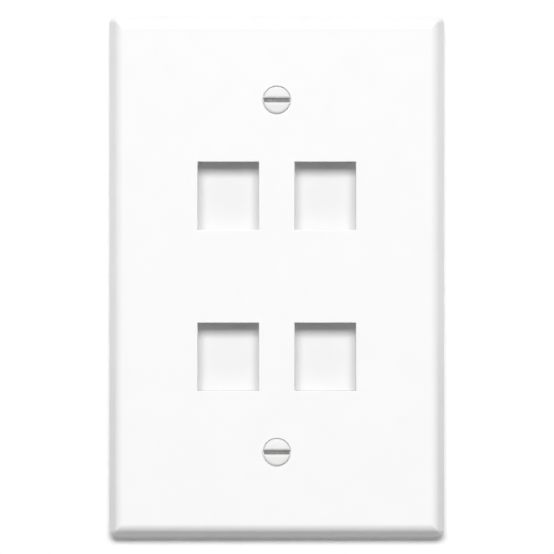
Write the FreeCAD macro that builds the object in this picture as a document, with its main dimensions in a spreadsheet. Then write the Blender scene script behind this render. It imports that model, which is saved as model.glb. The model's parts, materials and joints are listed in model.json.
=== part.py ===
import FreeCAD, Part
import math
import os
import Sketcher

# A four-port keystone faceplate for a single-gang wall box, with its two mounting screws.
# Millimetres. +X is to the right of someone who faces the plate, +Z is up, and the face looks along -Y.
# The origin is in the plane of the wall, in the middle of the plate, midway between the two screws.
# Depths are written as a distance in front of the wall, so "forward" is -Y.

SIZES = (
    ("plate_width", 79.4, "midway-size single-gang plate, 3 1/8 in"),
    ("plate_height", 123.8, "4 7/8 in"),
    ("plate_depth", 6.35, "wall to front face, 1/4 in"),
    ("side_height", 3.1, "height of the plain side wall below the bevel"),
    ("side_draft", 1.0, "moulding draft of the side wall, degrees"),
    ("bevel_lean", 31.0, "lean of the bevel's flat part from the straight side, degrees"),
    ("bevel_round", 2.1, "radius that turns the bevel into the face"),
    ("edge_round", 0.35, "small radius between side wall and bevel"),
    ("corner_round", 1.8, "corner radius of the outline"),
    ("rim_wall", 2.0, "thickness of the rim round the hollow back"),
    ("face_wall", 2.3, "thickness of the front wall"),
    ("hollow_round", 1.2, "radius inside the hollow back"),
    ("port_width", 14.5, "keystone opening, across"),
    ("port_height", 16.1, "keystone opening, up"),
    ("port_pitch_across", 22.95, "centre to centre of the two columns"),
    ("port_pitch_up", 38.1, "centre to centre of the two rows, 1 1/2 in"),
    ("port_wall", 1.6, "wall thickness of a port housing"),
    ("port_reach", 3.65, "how far a housing stands behind the wall plane"),
    ("port_edge", 0.15, "rounding of the opening at the face"),
    ("latch_rise", 4.0, "room above the opening for the jack's spring latch"),
    ("latch_start", 4.0, "depth behind the face at which that room begins"),
    ("heel_drop", 2.0, "room below the opening for the jack's fixed heel"),
    ("heel_start", 6.5, "depth behind the face at which that room begins"),
    ("catch_depth", 8.0, "depth behind the face of both catches' shoulders"),
    ("catch_reach", 2.0, "how far each catch stands out over its room"),
    ("catch_lead", 0.8, "lead-in chamfer behind each catch"),
    ("screw_pitch", 83.34, "centre to centre of the box screws, 3 9/32 in"),
    ("boss_radius", 4.5, "boss round each screw hole"),
    ("boss_length", 1.25, "how far it stands behind the front wall"),
    ("hole_diameter", 4.2, "clearance hole for a 6-32 screw"),
    ("sink_diameter", 6.9, "countersink at the face"),
    ("sink_shoulder", 0.5, "short straight side of the countersink, next to the face"),
    ("sink_angle", 82.0, "included angle of countersink and screw head"),
    ("rib_wall", 1.2, "thickness of the stiffening ribs"),
    ("rib_length", 2.0, "how far they stand behind the front wall"),
    ("head_radius", 3.25, "screw head"),
    ("head_height", 1.1, "from the cone to the top of the head's low crown"),
    ("head_round", 0.7, "rounding of the head's edge into that crown"),
    ("crown_radius", 30.0, "radius of the crown itself"),
    ("slot_width", 0.95, "screwdriver slot"),
    ("slot_depth", 1.6, "from the top of the head"),
    ("neck_radius", 1.5, "unthreaded neck under the head"),
    ("thread_radius", 1.75, "outer radius of a 6-32 thread"),
    ("thread_start", 2.6, "where the thread begins, in front of the wall"),
    ("screw_length", 19.05, "top of the head's cone to tip, 3/4 in"),
    ("tip_chamfer", 0.5, "chamfer of the tip"),
)

# Places that several sketches share, as expressions in the sizes.
FACE = "Sizes.plate_depth"
INNER = "(Sizes.plate_depth - Sizes.face_wall)"
HALF_WIDTH = "Sizes.plate_width / 2"
HALF_HEIGHT = "Sizes.plate_height / 2"
DRAFT_INSET = "Sizes.side_height * tan(Sizes.side_draft)"
BEVEL_INSET = f"({DRAFT_INSET} + ({FACE} - Sizes.side_height) * tan(Sizes.bevel_lean))"
COLUMN = "(-Sizes.port_pitch_across / 2)"
ROW = "(-Sizes.port_pitch_up / 2)"
PORT_TOP = f"({ROW} + Sizes.port_height / 2)"
PORT_BOTTOM = f"({ROW} - Sizes.port_height / 2)"
PAST = "1"

TINY = 0.01


def size_sheet(doc):
    sheet = doc.addObject("Spreadsheet::Sheet", "Sizes")
    for row, (name, value, note) in enumerate(SIZES, start=1):
        sheet.set(f"A{row}", name)
        sheet.set(f"B{row}", str(value))
        sheet.setAlias(f"B{row}", name)
        sheet.set(f"C{row}", note)
    doc.recompute()
    return sheet


def new_body(doc, label):
    body = doc.addObject("PartDesign::Body", label)
    body.Label = label
    return body


def origin_plane(body, role):
    return next(f for f in body.Origin.OriginFeatures if f.Role == role)


def new_sketch(body, name, plane, offset="0"):
    """A sketch on one of the body's own origin planes, moved along its normal by the offset."""
    made = body.newObject("Sketcher::SketchObject", name)
    made.AttachmentSupport = [(origin_plane(body, plane), "")]
    made.MapMode = "FlatFace"
    made.setExpression("AttachmentOffset.Base.z", offset)
    return made


def bind(sketch, kind, *where, now, size):
    """A dimension, true as drawn, that then follows an expression in the sizes."""
    index = sketch.addConstraint(Sketcher.Constraint(kind, *where, now))
    sketch.setExpression(f"Constraints[{index}]", size)


def bind_point(sketch, geometry, end, across, up):
    drawn = sketch.getPoint(geometry, end)
    bind(sketch, "DistanceX", geometry, end, now=drawn.x, size=across)
    bind(sketch, "DistanceY", geometry, end, now=drawn.y, size=up)


def polygon(sketch, corners):
    """A closed outline of straight lines. Each corner is a pair of expressions."""
    count = len(corners)
    first = sketch.GeometryCount
    turn = 2 * math.pi / count
    start = [FreeCAD.Vector(10 * math.cos(turn * i), 10 * math.sin(turn * i), 0) for i in range(count)]
    lines = [Part.LineSegment(start[i], start[(i + 1) % count]) for i in range(count)]
    sketch.addGeometry(lines)
    for i in range(count):
        after = first + (i + 1) % count
        sketch.addConstraint(Sketcher.Constraint("Coincident", first + i, 2, after, 1))
    for i, (across, up) in enumerate(corners):
        bind_point(sketch, first + i, 1, across, up)


def rectangle(sketch, left, right, bottom, top):
    polygon(sketch, ((left, bottom), (right, bottom), (right, top), (left, top)))


def centred(sketch, width, height, across="0", up="0"):
    rectangle(
        sketch,
        f"{across} - {width} / 2",
        f"{across} + {width} / 2",
        f"{up} - {height} / 2",
        f"{up} + {height} / 2",
    )


def circle(sketch, diameter, across="0", up="0"):
    drawn = Part.Circle(FreeCAD.Vector(1, 1, 0), FreeCAD.Vector(0, 0, 1), 1)
    made = sketch.addGeometry(drawn)
    bind(sketch, "Diameter", made, now=2 * drawn.Radius, size=diameter)
    bind_point(sketch, made, 3, across, up)


def pad(body, name, profile, length, **options):
    made = body.newObject("PartDesign::Pad", name)
    made.Profile = profile
    made.setExpression("Length", length)
    for option, value in options.items():
        setattr(made, option, value)
    return made


def pocket(body, name, profile, length=None, **options):
    made = body.newObject("PartDesign::Pocket", name)
    made.Profile = profile
    if length:
        made.setExpression("Length", length)
    else:
        made.Type = "ThroughAll"
    for option, value in options.items():
        setattr(made, option, value)
    return made


def edges_where(feature, test):
    """The names of the edges whose two ends pass the test."""
    found = []
    for number, edge in enumerate(feature.Shape.Edges, start=1):
        if all(test(v.Point) for v in edge.Vertexes):
            found.append(f"Edge{number}")
    return found


def fillet(body, name, base, edges, radius):
    made = body.newObject("PartDesign::Fillet", name)
    made.Base = (base, edges)
    made.setExpression("Radius", radius)
    return made


def groove(body, name, profile):
    """Cuts the profile's quarter turn about the sketch's own upright axis."""
    made = body.newObject("PartDesign::Groove", name)
    made.Profile = profile
    made.ReferenceAxis = (profile, ["V_Axis"])
    made.Angle = 90
    made.Reversed = True
    return made


def mirrored_both_ways(body, name, feature):
    """Repeats a feature left, right, top and bottom of the plate's middle."""
    made = body.newObject("PartDesign::MultiTransform", name)
    made.Originals = [feature]
    mirrors = []
    for plane in ("YZ_Plane", "XY_Plane"):
        mirror = body.newObject("PartDesign::Mirrored", f"{name}_{plane}")
        mirror.MirrorPlane = (origin_plane(body, plane), [""])
        mirrors.append(mirror)
    made.Transformations = mirrors
    body.Tip = made
    return made


def outer_form(body):
    """The plain sides, the mitred bevel and its rounding into the face."""
    section = new_sketch(body, "section_across", "XY_Plane")
    polygon(section, (
        (f"-{HALF_WIDTH}", "0"),
        (HALF_WIDTH, "0"),
        (f"{HALF_WIDTH} - {DRAFT_INSET}", "-Sizes.side_height"),
        (f"{HALF_WIDTH} - {BEVEL_INSET}", f"-{FACE}"),
        (f"-{HALF_WIDTH} + {BEVEL_INSET}", f"-{FACE}"),
        (f"-{HALF_WIDTH} + {DRAFT_INSET}", "-Sizes.side_height"),
    ))
    pad(body, "plate", section, "Sizes.plate_height", SideType="Symmetric")

    beyond_ends = new_sketch(body, "beyond_ends", "YZ_Plane")
    for side in ("", "-"):
        polygon(beyond_ends, (
            ("0", f"{side}({HALF_HEIGHT})"),
            ("-Sizes.side_height", f"{side}({HALF_HEIGHT} - {DRAFT_INSET})"),
            (f"-{FACE}", f"{side}({HALF_HEIGHT} - {BEVEL_INSET})"),
            (f"-{FACE} - {PAST}", f"{side}({HALF_HEIGHT} - {BEVEL_INSET})"),
            (f"-{FACE} - {PAST}", f"{side}({HALF_HEIGHT} + {PAST})"),
            ("0", f"{side}({HALF_HEIGHT} + {PAST})"),
        ))
    ends = pocket(body, "ends", beyond_ends, SideType="Symmetric")
    body.Document.recompute()

    depth = body.Document.Sizes.plate_depth
    top = edges_where(ends, lambda p: abs(p.y + depth) < TINY)
    return fillet(body, "bevel_rounding", ends, top, "Sizes.bevel_round")


def corner_forms(body):
    """Rounds each corner of the outline, with the bevel swept round it up to a sharp mitre."""
    profile = new_sketch(body, "corner_profile", "XY_Plane", f"{HALF_HEIGHT} - Sizes.corner_round")
    profile.setExpression("AttachmentOffset.Base.x", f"{HALF_WIDTH} - Sizes.corner_round")
    sizes = body.Document.Sizes
    foot = FreeCAD.Vector(sizes.corner_round, 0, 0)
    shoulder = FreeCAD.Vector(foot.x, -sizes.side_height, 0)
    lean = math.radians(sizes.bevel_lean)
    hub = FreeCAD.Vector(-sizes.corner_round, sizes.bevel_round - sizes.plate_depth, 0)
    meeting = hub + FreeCAD.Vector(math.cos(lean), -math.sin(lean), 0) * sizes.bevel_round
    apex = FreeCAD.Vector(0, meeting.y - 0.5, 0)
    top = FreeCAD.Vector(0, -sizes.plate_depth - 1, 0)
    outside = FreeCAD.Vector(foot.x + 1, 0, 0)
    far = FreeCAD.Vector(outside.x, top.y, 0)
    rounding = Part.Circle(hub, FreeCAD.Vector(0, 0, 1), sizes.bevel_round)
    side, slope, axis, over, back, base = profile.addGeometry([
        Part.LineSegment(foot, shoulder),
        Part.LineSegment(shoulder, meeting),
        Part.LineSegment(apex, top),
        Part.LineSegment(top, far),
        Part.LineSegment(far, outside),
        Part.LineSegment(outside, foot),
    ])
    start = math.atan2(apex.y - hub.y, apex.x - hub.x)
    arc = profile.addGeometry(Part.ArcOfCircle(rounding, start, -lean))
    for end, next_line in ((side, slope), (axis, over), (over, back), (back, base), (base, side)):
        profile.addConstraint(Sketcher.Constraint("Coincident", end, 2, next_line, 1))
    profile.addConstraint(Sketcher.Constraint("Tangent", slope, 2, arc, 2))
    profile.addConstraint(Sketcher.Constraint("Coincident", arc, 1, axis, 1))
    profile.addConstraint(Sketcher.Constraint("PointOnObject", axis, 1, -2))
    bind(profile, "Radius", arc, now=sizes.bevel_round, size="Sizes.bevel_round")
    bind(profile, "DistanceY", arc, 3, now=hub.y, size=f"Sizes.bevel_round - {FACE}")
    crest = profile.addGeometry(Part.Point(FreeCAD.Vector(-0.3, top.y + 1, 0)), True)
    profile.addConstraint(Sketcher.Constraint("PointOnObject", crest, 1, slope))
    for point, end, across, up in (
        (crest, 1, f"Sizes.corner_round - {BEVEL_INSET}", f"-{FACE}"),
        (side, 1, "Sizes.corner_round", "0"),
        (slope, 1, f"Sizes.corner_round - {DRAFT_INSET}", "-Sizes.side_height"),
        (over, 1, "0", f"-{FACE} - {PAST}"),
        (back, 1, f"Sizes.corner_round + {PAST}", f"-{FACE} - {PAST}"),
        (base, 1, f"Sizes.corner_round + {PAST}", "0"),
    ):
        bind_point(profile, point, end, across, up)
    corner = groove(body, "corner", profile)
    corners = mirrored_both_ways(body, "corners", corner)
    body.Document.recompute()
    side_height = sizes.side_height
    shoulder_edges = edges_where(corners, lambda p: abs(p.y + side_height) < TINY)
    return fillet(body, "edge_rounding", corners, shoulder_edges, "Sizes.edge_round")


def hollow_back(body):
    hollow = new_sketch(body, "hollow_outline", "XZ_Plane", INNER)
    centred(hollow, "(Sizes.plate_width - 2 * Sizes.rim_wall)", "(Sizes.plate_height - 2 * Sizes.rim_wall)")
    cut = pocket(body, "hollow", hollow, INNER)
    body.Document.recompute()

    sizes = body.Document.Sizes
    inside_x = sizes.plate_width / 2 - sizes.rim_wall
    inside_z = sizes.plate_height / 2 - sizes.rim_wall
    inner_edges = [
        name
        for name in edges_where(cut, lambda p: abs(abs(p.x) - inside_x) + abs(abs(p.z) - inside_z) < TINY)
        if cut.Shape.getElement(name).BoundBox.YMin < -TINY
    ]
    return fillet(body, "hollow_rounding", cut, inner_edges, "Sizes.hollow_round")


def port_pattern(body, name, features, sketch):
    """Repeats the features of the lower left port at the other three."""
    made = body.newObject("PartDesign::LinearPattern", name)
    made.Originals = features
    made.Direction = (sketch, ["H_Axis"])
    made.setExpression("Length", "Sizes.port_pitch_across")
    made.Occurrences = 2
    made.Direction2 = (sketch, ["V_Axis"])
    made.setExpression("Length2", "Sizes.port_pitch_up")
    made.Occurrences2 = 2
    body.Tip = made
    return made


def port_housings(body):
    """Each port is a box behind the face wall, taller above for the latch than below for the heel."""
    outline = new_sketch(body, "housing_outline", "XZ_Plane", INNER)
    half_across = "(Sizes.port_width / 2 + Sizes.port_wall)"
    rectangle(
        outline,
        f"{COLUMN} - {half_across}",
        f"{COLUMN} + {half_across}",
        f"{PORT_BOTTOM} - Sizes.heel_drop - Sizes.port_wall",
        f"{PORT_TOP} + Sizes.latch_rise + Sizes.port_wall",
    )
    housing = pad(body, "housing", outline, f"{INNER} + Sizes.port_reach", Reversed=True)
    port_pattern(body, "housings", [housing], outline)


def ribs_and_bosses(body):
    inside_across = "(Sizes.plate_width - 2 * Sizes.rim_wall + Sizes.rib_wall)"
    inside_up = "(Sizes.plate_height - 2 * Sizes.rim_wall + Sizes.rib_wall)"
    between_bosses = "(Sizes.screw_pitch - 2 * Sizes.boss_radius + Sizes.rib_wall)"

    upright = new_sketch(body, "upright_rib_outlines", "XZ_Plane", INNER)
    centred(upright, "Sizes.rib_wall", between_bosses)
    for column in (COLUMN, f"-{COLUMN}"):
        centred(upright, "Sizes.rib_wall", inside_up, across=column)
    pad(body, "upright_ribs", upright, "Sizes.rib_length", Reversed=True)

    cross = new_sketch(body, "cross_rib_outlines", "XZ_Plane", INNER)
    for row in (ROW, f"-{ROW}"):
        centred(cross, inside_across, "Sizes.rib_wall", up=row)
    pad(body, "cross_ribs", cross, "Sizes.rib_length", Reversed=True)

    bosses = new_sketch(body, "boss_outlines", "XZ_Plane", INNER)
    for side in ("", "-"):
        circle(bosses, "2 * Sizes.boss_radius", up=f"{side}Sizes.screw_pitch / 2")
    pad(body, "bosses", bosses, "Sizes.boss_length", Reversed=True)


def behind_face(depth):
    """The Y of a depth that is measured back from the front face."""
    return f"{depth} - {FACE}"


def port_passages(body):
    """The opening in the face, and behind it the rooms and catches that hold a keystone jack."""
    opening = new_sketch(body, "opening_outline", "XZ_Plane", FACE)
    centred(opening, "Sizes.port_width", "Sizes.port_height", across=COLUMN, up=ROW)
    front = pocket(body, "opening", opening)

    roof = f"{PORT_TOP} + Sizes.latch_rise"
    upper_catch = f"{roof} - Sizes.catch_reach"
    floor = f"{PORT_BOTTOM} - Sizes.heel_drop"
    lower_catch = f"{floor} + Sizes.catch_reach"
    latch_front = behind_face("Sizes.latch_start")
    heel_front = behind_face("Sizes.heel_start")
    shoulders = behind_face("Sizes.catch_depth")
    rear = "Sizes.port_reach"
    profile = new_sketch(body, "latch_profile", "YZ_Plane", COLUMN)
    polygon(profile, (
        (latch_front, ROW),
        (latch_front, roof),
        (shoulders, roof),
        (shoulders, upper_catch),
        (f"{rear} - Sizes.catch_lead", upper_catch),
        (rear, f"{upper_catch} + Sizes.catch_lead"),
        (f"{rear} + {PAST}", f"{upper_catch} + Sizes.catch_lead"),
        (f"{rear} + {PAST}", f"{lower_catch} - Sizes.catch_lead"),
        (rear, f"{lower_catch} - Sizes.catch_lead"),
        (f"{rear} - Sizes.catch_lead", lower_catch),
        (shoulders, lower_catch),
        (shoulders, floor),
        (heel_front, floor),
        (heel_front, ROW),
    ))
    rooms = pocket(body, "latch_rooms", profile, "Sizes.port_width", SideType="Symmetric")
    passages = port_pattern(body, "passages", [front, rooms], opening)
    body.Document.recompute()

    depth = body.Document.Sizes.plate_depth
    reach = body.Document.Sizes.port_pitch_up
    face_edges = edges_where(passages, lambda p: abs(p.y + depth) < TINY and max(abs(p.x), abs(p.z)) < reach)
    fillet(body, "opening_rounding", passages, face_edges, "Sizes.port_edge")


def screw_holes(body):
    """Countersunk holes, whose cones begin a little below the face."""
    shoulders = new_sketch(body, "shoulder_outlines", "XZ_Plane", FACE)
    centres = new_sketch(body, "hole_centres", "XZ_Plane", f"{FACE} - Sizes.sink_shoulder")
    for side in ("", "-"):
        circle(shoulders, "Sizes.sink_diameter", up=f"{side}Sizes.screw_pitch / 2")
        circle(centres, "Sizes.hole_diameter", up=f"{side}Sizes.screw_pitch / 2")
    pocket(body, "hole_shoulders", shoulders, "Sizes.sink_shoulder")
    body.Document.recompute()
    holes = body.newObject("PartDesign::Hole", "holes")
    holes.Profile = centres
    body.Document.recompute()
    holes.DepthType = "ThroughAll"
    holes.HoleCutType = "Countersink"
    holes.HoleCutCustomValues = True
    holes.setExpression("Diameter", "Sizes.hole_diameter")
    holes.setExpression("HoleCutDiameter", "Sizes.sink_diameter")
    holes.setExpression("HoleCutCountersinkAngle", "Sizes.sink_angle")


def faceplate(doc):
    body = new_body(doc, "faceplate")
    outer_form(body)
    corner_forms(body)
    hollow_back(body)
    port_housings(body)
    ribs_and_bosses(body)
    port_passages(body)
    screw_holes(body)
    return body


def mounting_screw(doc, label, height):
    """A slotted oval-head machine screw, seated in its countersink. Its axis runs along Y."""
    body = new_body(doc, label)
    body.setExpression("Placement.Base.z", height)

    slope = "tan(Sizes.sink_angle / 2)"
    cone_top = f"(Sizes.sink_shoulder - {FACE})"
    head_rim = f"({cone_top} + (Sizes.sink_diameter / 2 - Sizes.head_radius) / {slope})"
    neck_start = f"({cone_top} + (Sizes.sink_diameter / 2 - Sizes.neck_radius) / {slope})"
    head_top = f"({head_rim} - Sizes.head_height)"
    tip = f"({head_rim} + Sizes.screw_length)"
    step = "(Sizes.thread_radius - Sizes.neck_radius)"
    profile = new_sketch(body, f"{label}_profile", "XY_Plane")
    polygon(profile, (
        ("0", head_rim),
        ("Sizes.head_radius", head_rim),
        ("Sizes.neck_radius", neck_start),
        ("Sizes.neck_radius", f"-Sizes.thread_start - {step}"),
        ("Sizes.thread_radius", "-Sizes.thread_start"),
        ("Sizes.thread_radius", f"{tip} - Sizes.tip_chamfer"),
        ("Sizes.thread_radius - Sizes.tip_chamfer", tip),
        ("0", tip),
    ))
    revolved(body, f"{label}_shank", profile)
    revolved(body, f"{label}_crown", crown_profile(body, label, head_rim, head_top))

    slot = new_sketch(body, f"{label}_slot_outline", "YZ_Plane")
    half = "Sizes.slot_width / 2"
    rectangle(slot, f"{head_top} - {PAST}", f"{head_top} + Sizes.slot_depth", f"-{half}", half)
    pocket(body, f"{label}_slot", slot, SideType="Symmetric")
    return body


def crown_profile(body, label, rim, head_top):
    """The head in front of its cone: a straight edge that rounds into a low dome."""
    sizes = body.Document.Sizes
    foot = FreeCAD.Vector(0, -sizes.plate_depth, 0)
    brim = foot + FreeCAD.Vector(sizes.head_radius, 0, 0)
    top = foot - FreeCAD.Vector(0, sizes.head_height, 0)
    hub = top + FreeCAD.Vector(0, sizes.crown_radius, 0)
    reach = sizes.head_radius - sizes.head_round
    rise = math.sqrt((sizes.crown_radius - sizes.head_round) ** 2 - reach ** 2)
    corner = FreeCAD.Vector(reach, hub.y - rise, 0)
    meeting = math.atan2(-rise, reach)
    about = FreeCAD.Vector(0, 0, 1)
    sketch = new_sketch(body, f"{label}_crown_profile", "XY_Plane")
    base, side, axis, dome, rounding = sketch.addGeometry([
        Part.LineSegment(foot, brim),
        Part.LineSegment(brim, FreeCAD.Vector(brim.x, corner.y, 0)),
        Part.LineSegment(top, foot),
        Part.ArcOfCircle(Part.Circle(hub, about, sizes.crown_radius), -math.pi / 2, meeting),
        Part.ArcOfCircle(Part.Circle(corner, about, sizes.head_round), meeting, 0),
    ])
    sketch.addConstraint([
        Sketcher.Constraint("Coincident", base, 2, side, 1),
        Sketcher.Constraint("Coincident", axis, 2, base, 1),
        Sketcher.Constraint("Coincident", dome, 1, axis, 1),
        Sketcher.Constraint("Tangent", dome, 2, rounding, 1),
        Sketcher.Constraint("Tangent", rounding, 2, side, 2),
        Sketcher.Constraint("PointOnObject", dome, 3, -2),
        Sketcher.Constraint("Vertical", side),
    ])
    bind(sketch, "Radius", dome, now=sizes.crown_radius, size="Sizes.crown_radius")
    bind(sketch, "Radius", rounding, now=sizes.head_round, size="Sizes.head_round")
    bind_point(sketch, axis, 1, "0", head_top)
    bind_point(sketch, base, 1, "0", rim)
    bind_point(sketch, base, 2, "Sizes.head_radius", rim)
    return sketch


def revolved(body, name, profile):
    made = body.newObject("PartDesign::Revolution", name)
    made.Profile = profile
    made.ReferenceAxis = (profile, ["V_Axis"])
    return made


def check(doc, parts):
    """Stops if a feature failed, a cut removed nothing or a part isn't one sound solid."""
    for item in doc.Objects:
        if "Invalid" in item.State or "Error" in item.State:
            raise RuntimeError(f"{item.Name}: {item.State}")
    cutting = ("PartDesign::Pocket", "PartDesign::Groove", "PartDesign::Hole")
    for item in doc.Objects:
        if item.TypeId in cutting and item.Shape.Volume > item.BaseFeature.Shape.Volume - TINY:
            raise RuntimeError(f"{item.Name} cuts nothing")
    for part in parts:
        shape = part.Shape
        if shape.isNull() or not shape.isValid() or len(shape.Solids) != 1:
            raise RuntimeError(f"{part.Label} isn't one sound solid")
        print(part.Label, round(shape.Volume, 1), shape.BoundBox)


def main():
    doc = FreeCAD.newDocument("keystone_faceplate")
    size_sheet(doc)
    parts = [
        faceplate(doc),
        mounting_screw(doc, "mounting_screw_upper", "Sizes.screw_pitch / 2"),
        mounting_screw(doc, "mounting_screw_lower", "-Sizes.screw_pitch / 2"),
    ]
    doc.recompute()
    check(doc, parts)
    os.makedirs("parts", exist_ok=True)
    for part in parts:
        part.Shape.exportStep(f"parts/{part.Label}.step")


main()
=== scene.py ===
"""A white keystone faceplate with two slotted screws, fixed to a white wall and lit from above."""

import json
import math

import bpy
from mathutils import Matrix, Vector

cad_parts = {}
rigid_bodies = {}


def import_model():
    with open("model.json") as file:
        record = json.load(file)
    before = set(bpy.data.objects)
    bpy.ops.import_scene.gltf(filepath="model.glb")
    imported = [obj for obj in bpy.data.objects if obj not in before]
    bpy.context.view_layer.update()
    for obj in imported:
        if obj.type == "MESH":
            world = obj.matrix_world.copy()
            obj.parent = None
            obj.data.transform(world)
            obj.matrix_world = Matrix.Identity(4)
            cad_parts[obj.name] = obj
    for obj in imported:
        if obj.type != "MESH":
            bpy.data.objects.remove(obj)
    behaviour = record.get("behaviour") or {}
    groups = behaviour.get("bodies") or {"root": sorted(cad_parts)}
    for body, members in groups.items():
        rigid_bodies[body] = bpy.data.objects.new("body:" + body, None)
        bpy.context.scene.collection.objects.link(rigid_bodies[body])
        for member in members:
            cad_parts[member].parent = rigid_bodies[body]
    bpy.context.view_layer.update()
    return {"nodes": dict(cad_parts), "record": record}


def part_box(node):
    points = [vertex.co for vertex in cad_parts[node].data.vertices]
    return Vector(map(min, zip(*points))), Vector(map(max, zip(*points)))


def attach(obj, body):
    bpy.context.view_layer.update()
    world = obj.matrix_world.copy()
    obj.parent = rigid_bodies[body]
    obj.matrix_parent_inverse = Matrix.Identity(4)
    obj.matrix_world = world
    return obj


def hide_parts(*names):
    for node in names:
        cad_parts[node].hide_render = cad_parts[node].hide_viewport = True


for leftover in list(bpy.data.objects):
    bpy.data.objects.remove(leftover)
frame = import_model()

MM = 0.001

# The plate: its face looks along -Y, and its rim stands on the wall at y = 0.
plate_low, plate_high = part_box("faceplate")
FACE_Y = plate_low.y
PLATE_WIDTH = plate_high.x - plate_low.x
PLATE_HEIGHT = plate_high.z - plate_low.z
PORTS = [mount["pos_m"] for mount in frame["record"]["mounts"] if mount["name"].startswith("port_")]
PORT_HEIGHT = 16.1 * MM

# The screws: a low crown with a rounded edge, a cone, a bare neck and a thread. The crown is flat
# within CROWN_FLAT degrees of its middle.
HEAD_RADIUS = 3.25 * MM
HEAD_HEIGHT = 1.1 * MM
HEAD_ROUND = 0.7 * MM
CROWN_RADIUS = 30 * MM
CROWN_FLAT = 0.8
CONE_ANGLE = math.radians(82)
NECK_RADIUS = 1.5 * MM
CONE_DEPTH = (HEAD_RADIUS - NECK_RADIUS) / math.tan(CONE_ANGLE / 2)
THREAD_RADIUS = 1.75 * MM
THREAD_ROOT = 1.2 * MM
THREAD_TOOTH = 0.433 * MM
THREAD_PITCH = 0.794 * MM
THREAD_START = -2.6 * MM
TIP_CHAMFER = 0.5 * MM

# The slot: its lips are rolled over, and a round saw leaves its floor shallower at the ends.
SLOT_WIDTH = 0.95 * MM
SLOT_DEPTH = 1.6 * MM
SLOT_LIP = 0.6 * MM
SAW_RADIUS = 16 * MM

# How the screws are cut. A cutter stands clear of what it cuts, and the slot's cutter swings just
# past the edge of the head. Points that nearly touch are merged, and a cut leaves larger slivers.
ROUND_SIDES = 112
THREAD_STEPS = 40
SWING_STEPS = 24
CUTTER_SWING = math.radians(7)
CLEAR = 0.1 * MM
TOUCHING = 0.0001 * MM
SLIVER = 0.01 * MM
SMOOTH_BELOW = math.radians(35)

# The finishes. A little behind the rim of the head the enamel gives way to dark steel, which is
# painted shade for the slot floor and for the cone in the gap round the head. The zinc starts at
# the neck. Each fades in over a short way, along an edge that wanders.
PLASTIC_WHITES = ((0.914, 0.914, 0.912, 1), (0.923, 0.923, 0.921, 1))
ENAMEL_WHITE = (0.84, 0.84, 0.835, 1)
# Painted shade: this dark steel stands in for the shadow on the slot floor and in the gap round the head.
SLOT_STEEL_PAINTED_SHADE = (0.19, 0.19, 0.19, 1)
ZINC = (0.55, 0.555, 0.55, 1)
PAINTED_SHADE_BEHIND_RIM = 0.2 * MM
PAINTED_SHADE_FADE = 0.08 * MM
ZINC_FADE = 0.2 * MM
EDGE_WANDER = 0.2 * MM

# The wall and the floor. The tones that the camera sees, and those of the light that goes back to
# the plate, are each a pair, for the foot and the top. The lift is added to what the camera sees.
WALL_Y = 0.25 * MM
WALL_UNDER = 0.25 * MM
WALL_CORNER = 1.7 * MM
WALL_REACH = (16, 1, 10)
WALL_SEEN = (0.93, 0.93)
WALL_CAST = (0.33, 0.78)
WALL_LIFT = 0.10
FLOOR_Z = -0.3
FLOOR_SIZE = 8
FLOOR_LIFT = 0.25

# The lining in each port, and the lid that keeps light from behind out of the housing.
# The lining's seen tone is darker at its foot: painted shade that offsets the light bounced up from the
# port's floor.
LINING_SEEN_WITH_PAINTED_SHADE = (0.775, 0.885)
LINING_CAST = (0.3, 0.3)
LINING_LIFT = 0.06
LINING_SIZE = (16 * MM, 22.4 * MM)
LINING_RISE = 1.0 * MM
LID_Y = 3.6 * MM

# The light: a soft sky, brighter overhead and behind, and one large lamp above the front.
SKY = 0.4
SKY_ABOVE = 0.05
SKY_SLOPE = 0.33
SKY_REAR = 0.5
LAMP_FROM = (0, -0.927, 0.375)
LAMP_DISTANCE = 8.0
LAMP_SIZE = (4.88, 2.6)
LAMP_WATTS = 588

# The view: a long lens, its length and film in millimetres, and how wide and far it sees.
LENS = 500
FILM_WIDTH = 36
VIEW_WIDTH = 131.06 * MM
VIEW_END = 50
VIEW_CENTRE = (0.05 * MM, -0.17 * MM)


# --- helpers --------------------------------------------------------------------------------------


def deselect():
    bpy.ops.object.select_all(action="DESELECT")


def make_active(piece):
    deselect()
    piece.select_set(True)
    bpy.context.view_layer.objects.active = piece


def apply_modifier(piece, kind, **settings):
    make_active(piece)
    modifier = piece.modifiers.new(kind.title(), kind)
    for name, value in settings.items():
        setattr(modifier, name, value)
    bpy.ops.object.modifier_apply(modifier=modifier.name)


class Nodes:
    """The nodes of a material or of the world, and short ways to add and join them."""

    def __init__(self, owner):
        owner.use_nodes = True
        self.nodes = owner.node_tree.nodes
        self.links = owner.node_tree.links

    def feed(self, socket, value):
        """Gives a socket a fixed value, or what another node puts out."""
        if isinstance(value, bpy.types.NodeSocket):
            self.links.new(value, socket)
        else:
            socket.default_value = value

    def add(self, kind, **settings):
        node = self.nodes.new(kind)
        for name, value in settings.items():
            if name in node.inputs:
                self.feed(node.inputs[name], value)
            else:
                setattr(node, name, value)
        return node

    def maths(self, operation, *values, clamp=False):
        """A sum of values, each of them fixed or from a node."""
        node = self.add("ShaderNodeMath", operation=operation, use_clamp=clamp)
        for socket, value in zip(node.inputs, values):
            self.feed(socket, value)
        return node.outputs["Value"]

    def blend(self, amount, first, second, kind="RGBA"):
        """Something between two colours or numbers, each of them fixed or from a node."""
        node = self.add("ShaderNodeMix", data_type=kind)
        sockets = [socket for socket in node.inputs if socket.enabled]
        for socket, value in zip(sockets, (amount, first, second)):
            self.feed(socket, value)
        return next(socket for socket in node.outputs if socket.enabled)

    def looked_at(self):
        """1 for a ray by which the camera sees something, straight or in a shiny or clear surface."""
        path = self.add("ShaderNodeLightPath").outputs
        straight_or_shiny = self.maths("ADD", path["Is Camera Ray"], path["Is Glossy Ray"], clamp=True)
        return self.maths("ADD", straight_or_shiny, path["Is Transmission Ray"], clamp=True)


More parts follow.
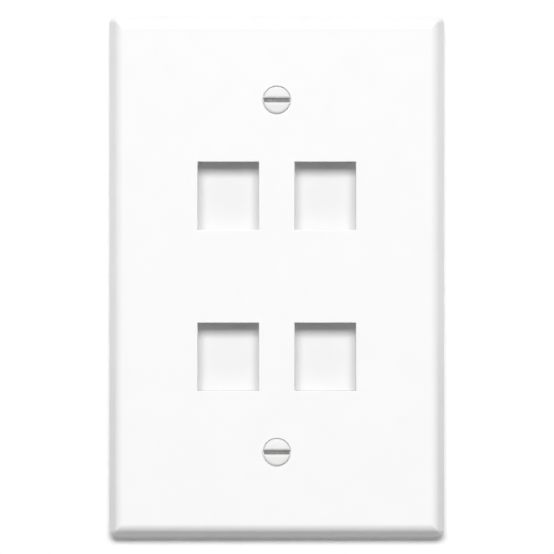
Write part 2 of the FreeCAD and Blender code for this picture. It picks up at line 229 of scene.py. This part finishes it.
class Shader(Nodes):
    """A material with a Principled surface that reads Object coordinates."""

    def __init__(self, name):
        self.material = bpy.data.materials.new(name)
        super().__init__(self.material)
        self.surface = self.nodes["Principled BSDF"]
        self.place = self.add("ShaderNodeTexCoord").outputs["Object"]

    def give(self, name, value):
        """Gives the surface a colour, a number or a bump, fixed or from a node."""
        self.feed(self.surface.inputs[name], value)

    def along(self, axis):
        """Where a point is along X, Y or Z."""
        return self.add("ShaderNodeSeparateXYZ", Vector=self.place).outputs[axis]

    def noise(self, size, detail=2.0):
        """Soft grain whose lumps are about the given size in metres."""
        node = self.add("ShaderNodeTexNoise", Vector=self.place, Scale=1 / size, Detail=detail)
        return node.outputs["Fac"]

    def spread(self, value, low, high, start=0.3, end=0.7):
        """Turns a value from start to end into a number from low to high. Grain needs no start or end."""
        node = self.add("ShaderNodeMapRange", Value=value)
        for socket, number in zip(node.inputs[1:5], (start, end, low, high)):
            self.feed(socket, number)
        return node.outputs["Result"]

    def bump(self, height, strength, distance, under=None):
        node = self.add("ShaderNodeBump", Height=height, Strength=strength, Distance=distance)
        if under:
            self.feed(node.inputs["Normal"], under)
        return node.outputs["Normal"]


# --- materials ------------------------------------------------------------------------------------


def moulded_plastic():
    """Glossy white plastic: a polished face with faint waviness and a very fine grain."""
    shader = Shader("moulded_white_plastic")
    tint = shader.spread(shader.noise(9 * MM), low=0.0, high=1.0)
    shader.give("Base Color", shader.blend(tint, *PLASTIC_WHITES))
    shader.give("Roughness", shader.spread(shader.noise(2.5 * MM), low=0.30, high=0.38))
    waves = shader.bump(shader.noise(6 * MM, detail=0.0), strength=0.05, distance=0.05 * MM)
    fine = shader.noise(0.35 * MM)
    shader.give("Normal", shader.bump(fine, strength=0.06, distance=0.01 * MM, under=waves))
    shader.give("IOR", 1.5)
    return shader.material


def enamelled_steel(top):
    """White enamel on the head's face, painted shade as dark steel in its slot and on its cone, and zinc
    on the neck and thread.
    """
    shader = Shader("enamelled_screw")
    back = shader.maths("MULTIPLY_ADD", shader.noise(0.5 * MM), EDGE_WANDER, shader.along("Y"))
    rim = top + HEAD_HEIGHT
    painted_shade_start = rim + PAINTED_SHADE_BEHIND_RIM
    neck = rim + CONE_DEPTH
    # Painted shade: behind the rim the head turns dark steel in place of the shadow in its slot and round
    # its edge.
    bare_steel_and_painted_shade = shader.spread(back, low=0.0, high=1.0, start=painted_shade_start, end=painted_shade_start + PAINTED_SHADE_FADE)
    zinc = shader.spread(back, low=0.0, high=1.0, start=neck, end=neck + ZINC_FADE)
    head = shader.blend(bare_steel_and_painted_shade, ENAMEL_WHITE, SLOT_STEEL_PAINTED_SHADE)
    shader.give("Base Color", shader.blend(zinc, head, ZINC))
    shader.give("Metallic", bare_steel_and_painted_shade)
    grain = shader.noise(0.6 * MM)
    enamel_sheen = shader.spread(grain, low=0.56, high=0.64)
    metal_sheen = shader.spread(grain, low=0.20, high=0.28)
    shader.give("Roughness", shader.blend(bare_steel_and_painted_shade, enamel_sheen, metal_sheen, "FLOAT"))
    shader.give("Normal", shader.bump(shader.noise(0.4 * MM), strength=0.1, distance=0.02 * MM))
    return shader.material


def matt_white(name, seen, cast, foot=0.0, top=1.0, lift=0.0, solid=True):
    """Matt paint on a sheet. To the camera its back is clear, so the plate shows from behind.

    The camera sees one tone, a little lifted, and the light that the plate gets back has the other.
    Each is a pair, from the height of the foot to the height of the top. A sheet that isn't solid
    lets all light through, and only the camera sees its front.
    """
    shader = Shader(name)
    looked = shader.looked_at()
    height = shader.along("Z")
    tones = [shader.spread(height, *pair, foot, top) for pair in (cast, seen)]
    shader.give("Base Color", shader.blend(looked, *tones, "FLOAT"))
    shader.give("Roughness", 1.0)
    shader.give("Specular IOR Level", 0.0)
    shader.give("Emission Color", (1, 1, 1, 1))
    shader.give("Emission Strength", shader.maths("MULTIPLY", looked, lift))
    behind = shader.add("ShaderNodeNewGeometry").outputs["Backfacing"]
    if solid:
        painted = shader.maths("SUBTRACT", 1.0, shader.maths("MULTIPLY", looked, behind), clamp=True)
    else:
        painted = shader.maths("SUBTRACT", looked, behind, clamp=True)
    mix = shader.add("ShaderNodeMixShader", Fac=painted)
    shader.feed(mix.inputs[1], shader.add("ShaderNodeBsdfTransparent").outputs[0])
    shader.feed(mix.inputs[2], shader.surface.outputs[0])
    shader.feed(shader.nodes["Material Output"].inputs["Surface"], mix.outputs[0])
    return shader.material


# --- the screws -----------------------------------------------------------------------------------


def select_edges(piece, test):
    """Selects the edges whose two ends pass the test."""
    bpy.ops.mesh.select_mode(type="EDGE")
    bpy.ops.mesh.select_all(action="DESELECT")
    bpy.ops.object.mode_set(mode="OBJECT")
    points = piece.data.vertices
    for edge in piece.data.edges:
        edge.select = all(test(points[v].co) for v in edge.vertices)
    bpy.ops.object.mode_set(mode="EDIT")


def draw_out(places, sides):
    """Extrudes the selection through (half size, y) places. Only the named sides, x and z, change."""
    for (size, y), (next_size, next_y) in zip(places, places[1:]):
        bpy.ops.mesh.extrude_region_move(TRANSFORM_OT_translate={"value": (0, next_y - y, 0)})
        scale = next_size / size
        bpy.ops.transform.resize(value=(scale if "x" in sides else 1, 1, scale if "z" in sides else 1))


def arc(across, y, radius, start, end, count):
    """Places (half size, y) on an arc about a middle. Its angles are degrees from straight forward."""
    angles = [math.radians(start + (end - start) * i / count) for i in range(count + 1)]
    return [(across + radius * math.sin(a), y - radius * math.cos(a)) for a in angles]


def close_solid(piece):
    bpy.ops.mesh.select_all(action="SELECT")
    bpy.ops.mesh.remove_doubles(threshold=TOUCHING)
    bpy.ops.mesh.normals_make_consistent(inside=False)
    bpy.ops.object.mode_set(mode="OBJECT")
    return piece


def screw_blank(tip, top):
    """The screw before its slot and thread are cut: shank, neck, cone and low crown.

    The arc of the head's edge, about its own middle, runs smoothly into the arc of the crown.
    """
    rim = top + HEAD_HEIGHT
    hub = top + CROWN_RADIUS
    edge_middle = HEAD_RADIUS - HEAD_ROUND
    between_middles = CROWN_RADIUS - HEAD_ROUND
    lean = math.asin(edge_middle / between_middles)
    edge_y = hub - between_middles * math.cos(lean)
    meeting = math.degrees(lean)
    places = [
        (THREAD_RADIUS - TIP_CHAMFER, tip),
        (THREAD_RADIUS, tip - TIP_CHAMFER),
        (THREAD_RADIUS, THREAD_START),
        (NECK_RADIUS, THREAD_START - (THREAD_RADIUS - NECK_RADIUS)),
        (NECK_RADIUS, rim + CONE_DEPTH),
        (HEAD_RADIUS, rim),
        *arc(edge_middle, edge_y, HEAD_ROUND, start=90, end=meeting, count=10),
        *arc(0, hub, CROWN_RADIUS, start=meeting, end=CROWN_FLAT, count=8)[1:],
    ]
    deselect()
    bpy.ops.mesh.primitive_circle_add(
        vertices=ROUND_SIDES,
        radius=places[0][0],
        fill_type="NGON",
        location=(0, tip, 0),
        rotation=(math.pi / 2, 0, 0),
    )
    blank = bpy.context.active_object
    bpy.ops.object.transform_apply(location=True, rotation=True, scale=True)
    bpy.ops.object.mode_set(mode="EDIT")
    bpy.ops.mesh.select_mode(type="FACE")
    bpy.ops.mesh.select_all(action="SELECT")
    draw_out(places, "xz")
    return close_solid(blank)


def slot_cutter(top):
    """A bar that cuts the screwdriver slot. Its flared lips follow the crown, its floor a round saw."""
    lip_foot = top + SLOT_LIP
    flare = SLOT_WIDTH / 2 + SLOT_LIP
    lip = arc(0, lip_foot, SLOT_LIP, start=90, end=10, count=8)
    places = [
        *((flare - across, y) for across, y in lip),
        (flare + CLEAR, top - CLEAR),
        (flare + CLEAR, top - 5 * CLEAR),
    ]
    deselect()
    bpy.ops.mesh.primitive_plane_add(size=1, rotation=(0, math.pi / 2, 0))
    cutter = bpy.context.active_object
    cutter.scale = (SLOT_WIDTH, SLOT_DEPTH - SLOT_LIP, 1)
    cutter.location.y = top + (SLOT_DEPTH + SLOT_LIP) / 2
    bpy.ops.object.transform_apply(location=True, rotation=True, scale=True)
    bpy.ops.object.mode_set(mode="EDIT")
    select_edges(cutter, lambda point: point.y < lip_foot + SLIVER)
    draw_out(places, "z")
    bpy.ops.mesh.select_mode(type="FACE")
    bpy.ops.mesh.select_all(action="SELECT")
    hub = (0, top + CROWN_RADIUS, 0)
    bpy.ops.transform.rotate(value=-CUTTER_SWING, orient_axis="Z", center_override=hub)
    bpy.ops.mesh.spin(steps=SWING_STEPS, angle=2 * CUTTER_SWING, center=hub, axis=(0, 0, 1))
    close_solid(cutter)
    # The floor moves from the arc of the crown to the arc of the saw.
    for vertex in cutter.data.vertices:
        across, y, _ = vertex.co
        if math.hypot(across, hub[1] - y) < CROWN_RADIUS - SLOT_DEPTH + SLIVER:
            vertex.co.y = top + SLOT_DEPTH - across**2 / (2 * SAW_RADIUS)
    return cutter


def thread_cutter(tip):
    """A three-sided helix that cuts the thread, from the neck to beyond the tip."""
    deselect()
    bpy.ops.mesh.primitive_circle_add(
        vertices=3,
        radius=THREAD_TOOTH,
        fill_type="NOTHING",
        location=(THREAD_ROOT + THREAD_TOOTH, THREAD_START - 2 * CLEAR, 0),
        rotation=(0, 0, math.pi / 2),
    )
    cutter = bpy.context.active_object
    bpy.ops.object.transform_apply(location=True, rotation=True, scale=True)
    apply_modifier(
        cutter,
        "SCREW",
        axis="Y",
        screw_offset=THREAD_PITCH,
        iterations=math.ceil((tip - THREAD_START) / THREAD_PITCH) + 1,
        steps=THREAD_STEPS,
        render_steps=THREAD_STEPS,
    )
    bpy.ops.object.mode_set(mode="EDIT")
    bpy.ops.mesh.select_all(action="SELECT")
    bpy.ops.mesh.fill_holes(sides=3)
    return close_solid(cutter)


def cut(piece, cutter):
    """Cuts the cutter's shape out, and merges the slivers that the cut leaves along its edges."""
    apply_modifier(piece, "BOOLEAN", operation="DIFFERENCE", solver="EXACT", object=cutter)
    bpy.data.objects.remove(cutter)
    bpy.ops.object.mode_set(mode="EDIT")
    bpy.ops.mesh.select_all(action="SELECT")
    bpy.ops.mesh.remove_doubles(threshold=SLIVER)
    bpy.ops.mesh.dissolve_degenerate(threshold=SLIVER)
    bpy.ops.object.mode_set(mode="OBJECT")


def mounting_screws():
    """One screw is cut at the middle of the plate, and a copy goes to each of the two holes."""
    low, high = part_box("mounting_screw_upper")
    model = screw_blank(high.y, low.y)
    cut(model, thread_cutter(high.y))
    cut(model, slot_cutter(low.y))
    apply_modifier(model, "TRIANGULATE")
    bpy.ops.object.shade_smooth_by_angle(angle=SMOOTH_BELOW)
    model.data.materials.append(enamelled_steel(low.y))
    for place in ("upper", "lower"):
        low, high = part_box(f"mounting_screw_{place}")
        make_active(model)
        bpy.ops.object.duplicate()
        screw = bpy.context.active_object
        screw.name = screw.data.name = f"slotted_screw_{place}"
        screw.location.z = (low.z + high.z) / 2
        bpy.ops.object.transform_apply(location=True, rotation=False, scale=False)
        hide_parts(f"mounting_screw_{place}")
        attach(screw, "root")
    bpy.data.objects.remove(model)


# --- the wall and the floor -----------------------------------------------------------------------


def sheet(name, width, height, place, paint, upright=True):
    """A flat sheet that isn't part of the object. An upright one faces the camera."""
    deselect()
    turn = (math.pi / 2, 0, 0) if upright else (0, 0, 0)
    bpy.ops.mesh.primitive_plane_add(size=1, location=place, rotation=turn)
    made = bpy.context.active_object
    made.name = name
    made.scale = (width, height, 1)
    bpy.ops.object.transform_apply(location=False, rotation=True, scale=True)
    made.data.materials.append(paint)


def wall():
    """The wall round the plate. It reaches just under the rim, and is open behind the plate."""
    paint = matt_white("wall_paint", WALL_SEEN, WALL_CAST, -PLATE_HEIGHT / 2, 0, WALL_LIFT)
    sheet("wall", PLATE_WIDTH - 2 * WALL_UNDER, PLATE_HEIGHT - 2 * WALL_UNDER, (0, WALL_Y, 0), paint)
    bpy.ops.object.mode_set(mode="EDIT")
    bpy.ops.mesh.select_mode(type="VERT")
    bpy.ops.mesh.select_all(action="SELECT")
    bpy.ops.mesh.bevel(offset=WALL_CORNER, segments=6, affect="VERTICES")
    bpy.ops.mesh.select_mode(type="EDGE")
    bpy.ops.mesh.select_all(action="SELECT")
    # What is kept is the ring between the plate's outline and its enlarged copy.
    bpy.ops.mesh.extrude_edges_move()
    bpy.ops.transform.resize(value=WALL_REACH)
    bpy.ops.mesh.select_all(action="INVERT")
    bpy.ops.mesh.delete(type="FACE")
    bpy.ops.object.mode_set(mode="OBJECT")


def port_linings():
    """In each port a lining in the plane of the wall, and a lid at the back of the housing."""
    foot = -PORT_HEIGHT / 2 - LINING_RISE
    # The lining's foot is painted darker as shade, against the light that the port's floor bounces onto
    # it.
    tones = (LINING_SEEN_WITH_PAINTED_SHADE, LINING_CAST, foot, foot + PORT_HEIGHT, LINING_LIFT)
    lining_paint = matt_white("lining_paint", *tones, solid=False)
    lid_paint = matt_white("lid_paint", *tones)
    for x, _, z in PORTS:
        sheet("lining", *LINING_SIZE, (x, WALL_Y, z + LINING_RISE), lining_paint)
        sheet("lid", *LINING_SIZE, (x, LID_Y, z + LINING_RISE), lid_paint)


def pale_floor():
    """A floor far below the plate, which the camera sees and which light passes through."""
    paint = matt_white("floor_paint", WALL_SEEN, WALL_CAST, lift=FLOOR_LIFT, solid=False)
    sheet("floor", FLOOR_SIZE, FLOOR_SIZE, (0, 0, FLOOR_Z), paint, upright=False)


# --- the light and the camera ---------------------------------------------------------------------


def soft_sky():
    """A white surround, brighter overhead and behind. The camera sees it plain white."""
    world = bpy.data.worlds.new("studio")
    bpy.context.scene.world = world
    sky = Nodes(world)
    direction = sky.add("ShaderNodeTexCoord").outputs["Generated"]
    slope = sky.add("ShaderNodeVectorMath", operation="DOT_PRODUCT")
    sky.feed(slope.inputs[0], direction)
    sky.feed(slope.inputs[1], (0, SKY_SLOPE, SKY_ABOVE))
    rear = sky.add("ShaderNodeSeparateXYZ", Vector=direction).outputs["Y"]
    glow = sky.maths("MULTIPLY", rear, SKY_REAR, clamp=True)
    level = sky.maths("ADD", sky.maths("ADD", slope.outputs["Value"], SKY), glow)
    background = sky.nodes["Background"].inputs
    sky.feed(background["Color"], (1, 1, 1, 1))
    sky.feed(background["Strength"], sky.blend(sky.looked_at(), level, 1.0, "FLOAT"))


def key_lamp():
    """A large soft box in front and above, which looks at the plate."""
    data = bpy.data.lights.new("key", "AREA")
    data.shape = "RECTANGLE"
    data.size, data.size_y = LAMP_SIZE
    data.energy = LAMP_WATTS
    made = bpy.data.objects.new("key", data)
    bpy.context.collection.objects.link(made)
    towards = Vector(LAMP_FROM).normalized()
    made.location = towards * LAMP_DISTANCE
    made.rotation_euler = towards.to_track_quat("Z", "Y").to_euler()


def front_camera():
    """A long lens, square on to the face, so that the view is nearly parallel."""
    data = bpy.data.cameras.new("camera")
    data.lens = LENS
    data.sensor_width = FILM_WIDTH
    data.clip_end = VIEW_END
    made = bpy.data.objects.new("camera", data)
    bpy.context.collection.objects.link(made)
    distance = VIEW_WIDTH * LENS / FILM_WIDTH
    made.location = (VIEW_CENTRE[0], FACE_Y - distance, VIEW_CENTRE[1])
    made.rotation_euler = (math.pi / 2, 0, 0)
    bpy.context.scene.camera = made


# --- the scene ------------------------------------------------------------------------------------


mounting_screws()
plate = frame["nodes"]["faceplate"]
plate.material_slots[0].material = moulded_plastic()
wall()
port_linings()
pale_floor()
soft_sky()
key_lamp()
front_camera()
bpy.context.scene.view_settings.view_transform = "Standard"
